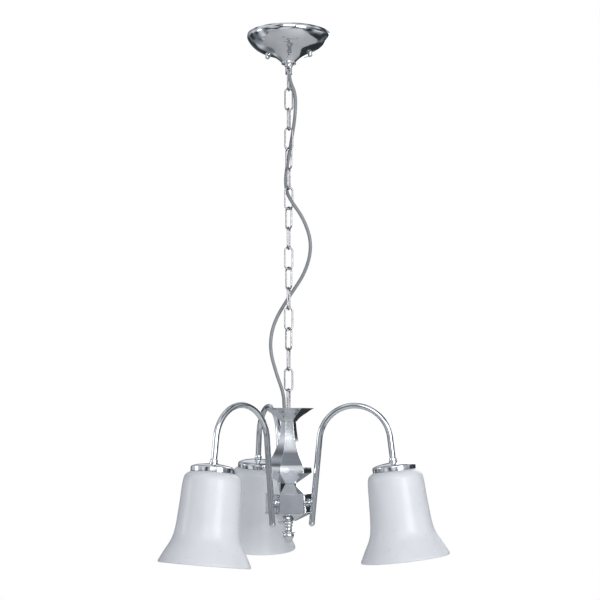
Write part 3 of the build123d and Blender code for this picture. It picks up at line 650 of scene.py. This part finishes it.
class CHANDELIER_OT_ceiling_fittings(bpy.types.Operator):
    """Bracket, studs, bush, terminal block and screws at the ceiling"""
    bl_idname = "chandelier.ceiling_fittings"
    bl_label = "Ceiling fittings"

    def execute(self, context):
        for node, name, finish, edge in (
                ("hanger_bush", "chain_bush", "chrome", 0.25),
                ("bush_nut", "bush_lock_nut", "zinc", 0.25),
                ("ceiling_bracket", "ceiling_bar", "zinc", 0.25),
                ("rose_studs", "rose_threaded_studs", "zinc", 0.2),
                ("terminal_block", "wire_connector", "plastic", 0.3),
                ("terminal_screws", "connector_screws", "brass", 0.1),
                ("earth_screw", "earth_terminal", "brass", 0.15)):
            finer_copy(node, name, finish, "ceiling", edge * MM)
        return {"FINISHED"}


class CHANDELIER_OT_chain(bpy.types.Operator):
    """Oval links of round wire, from the bush to the eye"""
    bl_idname = "chandelier.chain"
    bl_label = "Chain"

    def execute(self, context):
        sizes = context.scene.chandelier_hanging
        nodes = sorted(name for name in frame["nodes"] if name.startswith("chain_link"))
        middles = [(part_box(name)[0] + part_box(name)[1]) / 2 for name in nodes]
        wire = sizes.link_wire
        values = {
            "Material": material_of("chain"),
            "Wire radius": wire / 2,
            "Width": 2 * sizes.link_bend,
            "Length": top(nodes[0]) - bottom(nodes[0]) - wire,
            "Bend": sizes.link_bend,
        }
        tree = chain_tree()
        first = grown(tree, middles[:1], values, turns=STANCES[:1])
        settle(first, "chain_first_link", "chain", "first_link", nodes[:1])
        rest = grown(tree, middles[1:], values, turns=STANCES[1:])
        settle(rest, "chain_lower_links", "chain", "pendant", nodes[1:])
        return {"FINISHED"}


class CHANDELIER_OT_flex(bpy.types.Operator):
    """Round supply flex that winds loosely round the chain"""
    bl_idname = "chandelier.flex"
    bl_label = "Supply flex"

    def execute(self, context):
        diameter = context.scene.chandelier_hanging.cable_diameter
        route = bpy.data.curves.new("flex_route", "CURVE")
        route.dimensions = "3D"
        route.resolution_u = 12
        spline = route.splines.new("NURBS")
        spline.points.add(len(CABLE_ROUTE) - 1)
        for point, place in zip(spline.points, CABLE_ROUTE):
            point.co = (*place, 1)
        spline.order_u = 3
        spline.use_endpoint_u = True
        holder = bpy.data.objects.new("flex_route", route)
        context.scene.collection.objects.link(holder)
        middle = bpy.data.meshes.new_from_object(holder)
        route.bevel_depth = diameter / 2
        route.bevel_resolution = 6
        route.use_fill_caps = True
        context.view_layer.update()
        depsgraph = context.evaluated_depsgraph_get()
        tube = bpy.data.meshes.new_from_object(holder.evaluated_get(depsgraph), depsgraph=depsgraph)
        bpy.data.objects.remove(holder)
        flex = settle(tube, "supply_flex", "flex", None, ["supply_cable"])
        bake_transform(flex)
        return {"FINISHED"}


class CHANDELIER_OT_cup(bpy.types.Operator):
    """Flared hexagonal cup and the eye that the chain's last link holds"""
    bl_idname = "chandelier.cup"
    bl_label = "Cup and eye"

    def execute(self, context):
        sizes = context.scene.chandelier_column
        high, low = top("top_cup"), bottom("top_cup")
        rim, foot, wall = sizes.cup_rim, sizes.cup_foot, sizes.cup_wall
        shares = [(0.0, 1.0), (0.11, 0.835), (0.335, 0.587), (0.557, 0.339), (0.778, 0.145), (1.0, 0.0)]
        points = [((foot + (rim - foot) * out) * HEX, high - (high - low) * down) for down, out in shares]
        outer = smooth_line(points, 5)
        floor = low + sizes.cup_floor
        inner = [(flat - wall, height) for flat, height in outer if height > floor + MM]
        floor_corner = 0.5 * MM
        inner.append((inner[-1][0] - floor_corner, floor))
        piece_from(hexagonal(inner[::-1] + outer, sizes.cup_turn), "flared_cup", "chrome", "pendant",
                   ["top_cup"], 0.35 * MM)
        self.make_eye(context.scene.chandelier_hanging, floor)
        return {"FINISHED"}

    def make_eye(self, sizes, floor):
        """Ring on a collar, as one closed shape each."""
        wire, bend, collar = sizes.eye_wire / 2, sizes.eye_bend, sizes.eye_collar
        middle = top("top_eye") - wire - bend
        ring = lathe(arc((bend, 0), wire, 0, 350, 17), 48, closed=True)
        ring.transform(Matrix.Rotation(math.radians(90), 4, "X"))
        square = STANCES[-1] - math.radians(90)  # the eye stands square to the last link
        ring.transform(Matrix.Translation((0, 0, middle)) @ Matrix.Rotation(square, 4, "Z"))
        piece_from(ring, "lower_eye", "chrome", "pendant", ["top_eye"])
        high, shoulder = middle - bend, 1.2 * MM
        outline = [(0, high), (collar * 0.7, high), (collar, high - shoulder), (collar, floor), (0, floor)]
        piece_from(lathe(outline, 48), "eye_collar", "chrome", "pendant", [], 0.25 * MM)


class CHANDELIER_OT_vase(bpy.types.Operator):
    """Hexagonal vase with hollow sides and a cone under its widest edge"""
    bl_idname = "chandelier.vase"
    bl_label = "Vase"

    def execute(self, context):
        sizes = context.scene.chandelier_column
        high, low = top("vase_body"), bottom("vase_body")
        edge_height = high - sizes.vase_height
        narrow, wide = sizes.vase_top, sizes.vase_edge
        shares = [(0.0, 0.0), (0.16, 0.05), (0.35, 0.145), (0.51, 0.305), (0.69, 0.575), (0.82, 0.84),
                  (0.92, 0.965), (1.0, 1.0)]
        points = [((narrow + (wide - narrow) * out) * HEX, high + (edge_height - high) * down)
                  for down, out in shares]
        flats = smooth_line(points, 6) + [(sizes.waist * HEX, low)]
        piece_from(hexagonal(flats, sizes.column_turn), "hexagonal_vase", "chrome", "pendant",
                   ["vase_body"], 0.4 * MM)
        return {"FINISHED"}


class CHANDELIER_OT_hub(bpy.types.Operator):
    """Hexagonal drum that carries the arms, between two pyramid covers"""
    bl_idname = "chandelier.hub"
    bl_label = "Hub"

    def execute(self, context):
        sizes = context.scene.chandelier_column
        flat, band, tip = sizes.hub_edge * HEX, sizes.hub_band, sizes.waist * HEX
        drum_flat = (sizes.hub_edge - sizes.hub_overhang) * HEX
        high, low = top("hub_drum"), bottom("hub_drum")
        lap = drum_flat - DRUM_LAP
        upper = [(tip, top("hub_top_cover")), (flat, high + band), (flat, high), (lap, high)]
        drum = [(drum_flat, high), (drum_flat, low)]
        lower = [(lap, low), (flat, low), (flat, low - band), (tip, bottom("hub_bottom_cover"))]
        for flats, name, node in ((upper, "hub_upper_cover", "hub_top_cover"),
                                  (drum, "hub_hexagonal_drum", "hub_drum"),
                                  (lower, "hub_lower_cover", "hub_bottom_cover")):
            piece_from(hexagonal(flats, sizes.column_turn), name, "chrome", "pendant", [node], 0.4 * MM)
        return {"FINISHED"}


class CHANDELIER_OT_finial(bpy.types.Operator):
    """Turned drop: two beads, a flange and an acorn"""
    bl_idname = "chandelier.finial"
    bl_label = "Finial"

    def execute(self, context):
        start = top("finial")
        beads = smooth_line([(6.4, 0), (7.6, -3.0), (6.0, -6.0)], 8)
        second = smooth_line([(6.0, -6.0), (7.0, -8.4), (5.4, -10.8)], 8)
        neck = smooth_line([(5.4, -10.8), (5.8, -14.0), (10.6, -18.4)], 8, (0, -1), (1, -0.35))
        flange = smooth_line([(10.6, -18.4), (11.0, -19.4), (10.4, -20.2)], 5)
        acorn = smooth_line([(8.4, -21.2), (9.2, -24.0), (6.6, -31.0), (2.0, -37.0), (0, -38.0)], 8)
        outline = [(0, 0)] + beads + second[1:] + neck[1:] + flange[1:] + acorn
        metres = [(max(radius, 0) * MM, start + height * MM) for radius, height in outline]
        piece_from(lathe(metres, 72), "turned_finial", "chrome", "pendant", ["finial"], 0.15 * MM)
        return {"FINISHED"}


class CHANDELIER_OT_arms(bpy.types.Operator):
    """Bent tubes with ball ends, and the turned connectors that hold them to the hub"""
    bl_idname = "chandelier.arms"
    bl_label = "Arms"

    def path(self, sizes, lamps):
        """Line of arm 1: inner leg, crook and outer leg, in the XZ plane."""
        foot = Vector((sizes.foot_radius, 0, self.foot_height(sizes)))
        up = Vector((math.sin(sizes.lean), 0, math.cos(sizes.lean)))
        leg_top = foot + up * sizes.inner_leg
        middle = leg_top + Vector((math.cos(sizes.lean), 0, -math.sin(sizes.lean))) * sizes.bend
        steps = 48
        start, sweep = math.pi - sizes.lean, lamps.tilt - math.pi + sizes.lean
        turns = [start + sweep * i / steps for i in range(steps + 1)]
        crook = [middle + Vector((math.cos(t), 0, math.sin(t))) * sizes.bend for t in turns]
        down = Vector((math.sin(lamps.tilt), 0, -math.cos(lamps.tilt)))
        end = crook[-1] + down * (sizes.outer_leg + lamps.cap_dome)
        return [foot] + crook + [end]

    def foot_height(self, sizes):
        """Height of the tube's foot, where its ball starts."""
        return bottom("arm_end_balls") + sizes.tube_radius + BALL_EXTRA + BALL_DROP

    def execute(self, context):
        sizes, lamps = context.scene.chandelier_arms, context.scene.chandelier_lamps
        line = self.path(sizes, lamps)
        edges = [(i, i + 1) for i in range(len(line) - 1)]
        tree = tube_tree()
        for index in range(ARMS):
            values = {"Material": material_of("chrome"), "Tube radius": sizes.tube_radius,
                      "Turn": math.tau * index / ARMS}
            tube = grown(tree, line, values, edges)
            settle(tube, f"arm_{index + 1}", "chrome", "pendant", [f"arm_tube_{index + 1}"])
        self.make_ends(sizes)
        self.make_connectors(sizes, context.scene.chandelier_column)
        return {"FINISHED"}

    def make_ends(self, sizes):
        """Ball-ended plugs, all three in one piece."""
        outline = [(0, 0)] + arc((0, -BALL_DROP), sizes.tube_radius + BALL_EXTRA, 13, -90, 16)
        outline[-1] = (0, outline[-1][1])
        foot = Matrix.Translation((sizes.foot_radius, 0, self.foot_height(sizes)))
        leaning = foot @ Matrix.Rotation(sizes.lean, 4, "Y")
        balls = on_each_arm(outline, 40, lambda index: turned_by(index) @ leaning)
        piece_from(balls, "arm_ball_ends", "chrome", "pendant", ["arm_end_balls"])

    def make_connectors(self, sizes, column):
        """Turned spools between the drum and the tubes, all three in one piece."""
        flat = (column.hub_edge - column.hub_overhang) * HEX
        reach = sizes.foot_radius + sizes.connector_above * math.tan(sizes.lean)
        neck, flange = sizes.connector_radius, sizes.connector_flange
        lap, flange_face, step, fillet = flat - DRUM_LAP, flat + 2.4 * MM, flat + 3.0 * MM, 0.8 * MM
        outline = [(0, lap), (flange, lap), (flange, flange_face), (neck + fillet, step),
                   (neck, step + fillet), (neck, reach), (0, reach)]
        height = self.foot_height(sizes) + sizes.connector_above
        lying = Matrix.Translation((0, 0, height)) @ Matrix.Rotation(math.radians(90), 4, "Y")
        spools = on_each_arm(outline, 48, lambda index: turned_by(index) @ lying)
        piece_from(spools, "arm_spools", "chrome", "pendant", ["arm_connectors"], 0.25 * MM)


class CHANDELIER_OT_caps(bpy.types.Operator):
    """Domed caps over the glasses, with the collars where the tubes enter"""
    bl_idname = "chandelier.caps"
    bl_label = "Caps and collars"

    def execute(self, context):
        sizes, arms = context.scene.chandelier_lamps, context.scene.chandelier_arms
        r, rim, wall, tube = sizes.cap_radius, sizes.cap_rim, sizes.cap_wall, arms.tube_radius
        high = rim + sizes.cap_dome
        knee = (r * 0.55, rim + sizes.cap_dome * 0.72)
        dome = smooth_line([(tube, high), knee, (r - 1.2 * MM, rim)], 10, (1, -0.05), (1, -0.6))
        corner = smooth_line([(r - 1.2 * MM, rim), (r - 0.3 * MM, rim - 0.7 * MM), (r, rim - 2 * MM)], 4)
        under = smooth_line(
            [(r - wall, rim - 2.5 * MM), (knee[0], knee[1] - wall * 1.1), (tube, high - wall)], 8)
        outline = dome + corner[1:] + [(r, 0), (r - wall, 0)] + under
        base, neck, tip = sizes.collar_radius, sizes.collar_radius - 0.7 * MM, high + 7.5 * MM
        collar = [(tube, high), (base, high), (base, high + 1.8 * MM), (neck, high + 2.6 * MM),
                  (neck, high + 5.2 * MM), (tube + 0.5 * MM, tip), (tube, tip)]
        for index in range(ARMS):
            piece_from(lathe(outline, 96, closed=True), f"lamp_cap_{index + 1}", "chrome", "pendant",
                       [f"shade_cap_{index + 1}"], 0.2 * MM, lamp_place(index))
        collars = on_each_arm(collar, 56, lamp_place, closed=True)
        piece_from(collars, "cap_collars", "chrome", "pendant", ["tube_collars"], 0.25 * MM)
        return {"FINISHED"}


class CHANDELIER_OT_holders(bpy.types.Operator):
    """Lampholders with their screw shells, rolled threads, contacts and ring nuts"""
    bl_idname = "chandelier.holders"
    bl_label = "Lampholders"

    def execute(self, context):
        sizes = context.scene.chandelier_lamps
        mount = MOUNTS["lamp_socket_1"]["dims"]
        bore, shell = mount["r_mm"] * MM, mount["length_mm"] * MM
        r, foot = sizes.holder_radius, -sizes.holder_length
        seat = foot + shell + 3 * MM
        shoulder, crown = sizes.glass_rise, sizes.cap_rim - 2 * MM
        hollow = bore + 0.55 * MM
        body = [(0, crown), (11 * MM, crown), (r - 1.5 * MM, shoulder + 0.5 * MM), (r, shoulder - MM),
                (r, foot + MM), (r - MM, foot), (hollow, foot), (hollow, seat), (0, seat)]
        outside, low, high = bore + 0.5 * MM, foot + MM, foot + MM + shell
        wall = [(bore, low), (outside, low), (outside, high), (bore, high)]
        contact = [(0, seat), (4 * MM, seat), (4 * MM, seat - 0.8 * MM), (2 * MM, seat - 1.6 * MM),
                   (0, seat - 1.6 * MM)]
        for index in range(ARMS):
            number = index + 1
            piece_from(lathe(body, 72), f"holder_body_{number}", "plastic", "pendant",
                       [f"lampholder_{number}"], 0.3 * MM, lamp_place(index))
            finer_copy(f"shade_ring_{number}", f"ring_nut_{number}", "plastic", "pendant", 0.3 * MM)
        shells = on_each_arm(wall, 56, lamp_place, closed=True)
        piece_from(shells, "brass_shells", "brass", "pendant", ["screw_shells"], 0.1 * MM)
        contacts = on_each_arm(contact, 56, lamp_place)
        piece_from(contacts, "centre_contacts", "brass", "pendant", ["lamp_contacts"], 0.15 * MM)
        self.make_threads(sizes, bore, shell, foot)
        return {"FINISHED"}

    def make_threads(self, sizes, bore, shell, foot):
        """Thread inside each shell, and the one round each holder that its ring nut runs on."""
        turns = [math.tau * index / ARMS for index in range(ARMS)]
        tree = thread_tree()
        inner_start, outer_start = foot + 3 * MM, foot + 4 * MM
        for name, finish, radius, bead, start, height, pitch in (
                ("shell_threads", "brass", bore, 0.55 * MM, inner_start, shell - 4 * MM, 3.6 * MM),
                ("holder_threads", "plastic", sizes.holder_radius, 0.45 * MM, outer_start, 27 * MM,
                 3.0 * MM)):
            points = [lamp_place(index) @ Vector((0, 0, start)) for index in range(ARMS)]
            values = {"Material": material_of(finish), "Bead": bead, "Radius": radius, "Height": height,
                      "Turns": height / pitch, "Tilt": -sizes.tilt}
            settle(grown(tree, points, values, turns=turns), name, finish, "pendant", [])


class CHANDELIER_OT_glasses(bpy.types.Operator):
    """Satin opal bells with a round shoulder, a slim waist and a rolled lip"""
    bl_idname = "chandelier.glasses"
    bl_label = "Glass bells"

    def execute(self, context):
        sizes = context.scene.chandelier_lamps
        h, wall, rise = sizes.glass_height, sizes.glass_wall, sizes.glass_rise
        neck, shoulder = sizes.glass_neck, sizes.glass_shoulder
        waist, rim = sizes.glass_waist, sizes.glass_rim
        flare, lip_extra, eased = rim - waist, 1.4 * MM, 0.6 * MM
        shares = [(0.09, 0.626), (0.245, 0.735), (0.416, 0.796), (0.641, 0.864)]
        points = [(neck, 0), (shoulder - 3 * MM, -6.5 * MM), (shoulder, -17 * MM),
                  (shoulder + 1.5 * MM, -h * 0.285), (waist, -h * 0.455)]
        lip_r = (wall + lip_extra) / 2
        lip = arc((rim - lip_r, -h + lip_r), lip_r, 27, -222, 16)
        points += [(waist + flare * out, -h * down) for out, down in shares] + [lip[0]]
        outer = smooth_line(points, 7)
        inner = inside(outer, wall)[:-2]
        hole = sizes.holder_radius + 1.5 * MM
        crown = [(hole, rise), (neck - eased, rise), (neck, rise - eased)]
        ceiling = [(neck - wall, rise - wall), (hole, rise - wall)]
        outline = crown + outer + lip[1:] + inner[::-1] + ceiling
        for index in range(ARMS):
            piece_from(lathe(outline, 128, closed=True), f"glass_bell_{index + 1}", "opal", "pendant",
                       [f"glass_shade_{index + 1}"], 0.0, lamp_place(index))
        return {"FINISHED"}


class CHANDELIER_OT_inner_pieces(bpy.types.Operator):
    """Rod and nuts inside the column"""
    bl_idname = "chandelier.inner_pieces"
    bl_label = "Inner pieces"

    def execute(self, context):
        finer_copy("centre_rod", "column_rod", "zinc", "pendant")
        finer_copy("rod_nuts", "rod_lock_nuts", "zinc", "pendant", 0.25 * MM)
        finer_copy("arm_nuts", "spigot_nuts", "zinc", "pendant", 0.25 * MM)
        return {"FINISHED"}


class CHANDELIER_OT_stage(bpy.types.Operator):
    """Pale floor, soft studio light and the camera"""
    bl_idname = "chandelier.stage"
    bl_label = "Stage"

    def execute(self, context):
        low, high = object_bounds()
        self.make_floor(low.z - FLOOR_DROP)
        self.make_world(context.scene)
        middle = Vector((0, 0, (low.z + high.z) / 2))
        for name, place, size, power in (("right softbox", (1.5, -1.5, 0.2), 0.9, 17),
                                         ("front softbox", (0.5, -2.2, 0.7), 1.2, 12),
                                         ("left strip", (-1.9, -0.5, 0.1), 0.5, 3),
                                         ("back softbox", (0.4, 1.9, 0.5), 1.2, 8)):
            self.make_light(name, Vector(place) + middle, middle, size, power)
        self.make_camera(context.scene)
        return {"FINISHED"}

    def make_floor(self, height):
        """Pale floor under the object, marked as not part of it."""
        mesh = bpy.data.meshes.new("pale_floor")
        reach = 1.5
        mesh.from_pydata([(-reach, -reach, height), (reach, -reach, height), (reach, reach, height),
                          (-reach, reach, height)], [], [(0, 1, 2, 3)])
        material = bpy.data.materials.new("pale_floor")
        material.use_nodes = True
        bsdf = material.node_tree.nodes["Principled BSDF"]
        set_inputs(bsdf, Base_Color=(0.90, 0.90, 0.89, 1), Roughness=0.8)
        mesh.materials.append(material)
        floor = bpy.data.objects.new("pale_floor", mesh)
        bpy.context.scene.collection.objects.link(floor)
        floor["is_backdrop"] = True

    def make_world(self, scene):
        """White behind the object, soft light on it, and a room with dark and light sides in its metal."""
        scene.view_settings.view_transform = "Standard"
        world = bpy.data.worlds.new("studio")
        world.use_nodes = True
        tree = world.node_tree
        new, link = tree.nodes.new, tree.links.new
        behind = set_inputs(tree.nodes["Background"], Color=(1, 1, 1, 1))
        soft = set_inputs(new("ShaderNodeBackground"), Color=(0.91, 0.95, 1.0, 1), Strength=0.38)
        room = set_inputs(new("ShaderNodeBackground"), Strength=0.95)
        direction = new("ShaderNodeTexCoord").outputs["Generated"]
        patches = set_inputs(new("ShaderNodeTexNoise"), Scale=2.1, Detail=1.5)
        facing = new("ShaderNodeVectorMath")
        facing.operation = "DOT_PRODUCT"
        facing.inputs[1].default_value = (-0.02, -0.085, 0.035)
        both = new("ShaderNodeMath")
        ramp = new("ShaderNodeValToRGB")
        set_ramp(ramp, ((0.37, (0.035, 0.042, 0.045)), (0.45, (0.20, 0.22, 0.24)),
                        (0.53, (0.50, 0.52, 0.57)), (0.63, (0.90, 0.92, 0.97))))
        link(direction, patches.inputs["Vector"])
        link(direction, facing.inputs[0])
        link(patches.outputs["Fac"], both.inputs[0])
        link(facing.outputs["Value"], both.inputs[1])
        link(both.outputs["Value"], ramp.inputs["Fac"])
        link(ramp.outputs["Color"], room.inputs["Color"])
        seen = new("ShaderNodeLightPath")
        for_metal, for_view = new("ShaderNodeMixShader"), new("ShaderNodeMixShader")
        link(seen.outputs["Is Glossy Ray"], for_metal.inputs["Fac"])
        link(soft.outputs["Background"], for_metal.inputs[1])
        link(room.outputs["Background"], for_metal.inputs[2])
        link(seen.outputs["Is Camera Ray"], for_view.inputs["Fac"])
        link(for_metal.outputs["Shader"], for_view.inputs[1])
        link(behind.outputs["Background"], for_view.inputs[2])
        link(for_view.outputs["Shader"], tree.nodes["World Output"].inputs["Surface"])
        scene.world = world

    def make_light(self, name, place, target, size, power):
        """Square area light aimed at a point."""
        data = bpy.data.lights.new(name, "AREA")
        data.size = size
        data.energy = power
        light = bpy.data.objects.new(name, data)
        light.location = place
        light.rotation_mode = "QUATERNION"
        light.rotation_quaternion = (target - place).to_track_quat("-Z", "Y")
        bpy.context.scene.collection.objects.link(light)

    def make_camera(self, scene):
        """Camera a little right of the axis, tipped slightly upwards."""
        azimuth, pitch = math.radians(11.5), math.radians(5.32)
        distance, aside, height = 2.326, 0.0195, -0.684
        data = bpy.data.cameras.new("camera")
        data.lens = 81.4
        data.sensor_width = 36.0
        camera = bpy.data.objects.new("camera", data)
        right = Vector((math.cos(azimuth), math.sin(azimuth), 0))
        back = Vector((math.sin(azimuth), -math.cos(azimuth), 0))
        camera.location = back * distance + right * aside + Vector((0, 0, height))
        camera.rotation_euler = (math.radians(90) + pitch, 0, azimuth)
        scene.collection.objects.link(camera)
        scene.camera = camera


class CHANDELIER_PT_panel(bpy.types.Panel):
    """Sidebar panel with the pieces and their sizes"""
    bl_idname = "CHANDELIER_PT_panel"
    bl_label = "Chandelier"
    bl_space_type = "VIEW_3D"
    bl_region_type = "UI"
    bl_category = "Chandelier"

    def draw(self, context):
        for operator in OPERATORS:
            self.layout.operator(operator.bl_idname)
        for name, group in GROUPS.items():
            box = self.layout.box()
            for key in group.__annotations__:
                box.prop(getattr(context.scene, name), key)


GROUPS = {
    "chandelier_hanging": HangingSizes,
    "chandelier_column": ColumnSizes,
    "chandelier_arms": ArmSizes,
    "chandelier_lamps": LampSizes,
    "chandelier_finishes": Finishes,
}
OPERATORS = (
    CHANDELIER_OT_flex,
    CHANDELIER_OT_chain,
    CHANDELIER_OT_rose,
    CHANDELIER_OT_ceiling_fittings,
    CHANDELIER_OT_cup,
    CHANDELIER_OT_vase,
    CHANDELIER_OT_hub,
    CHANDELIER_OT_finial,
    CHANDELIER_OT_arms,
    CHANDELIER_OT_caps,
    CHANDELIER_OT_holders,
    CHANDELIER_OT_glasses,
    CHANDELIER_OT_inner_pieces,
    CHANDELIER_OT_stage,
)


def register():
    """Register the classes and attach the settings to the scene."""
    for cls in (*GROUPS.values(), *OPERATORS, CHANDELIER_PT_panel):
        bpy.utils.register_class(cls)
    for name, group in GROUPS.items():
        setattr(bpy.types.Scene, name, PointerProperty(type=group))


def unregister():
    """Undo what register did."""
    for name in GROUPS:
        delattr(bpy.types.Scene, name)
    for cls in (CHANDELIER_PT_panel, *reversed(OPERATORS), *reversed(list(GROUPS.values()))):
        bpy.utils.unregister_class(cls)


def main():
    """Build every piece."""
    register()
    for operator in OPERATORS:
        getattr(bpy.ops.chandelier, operator.bl_idname.split(".")[1])()


if __name__ == "__main__":
    main()
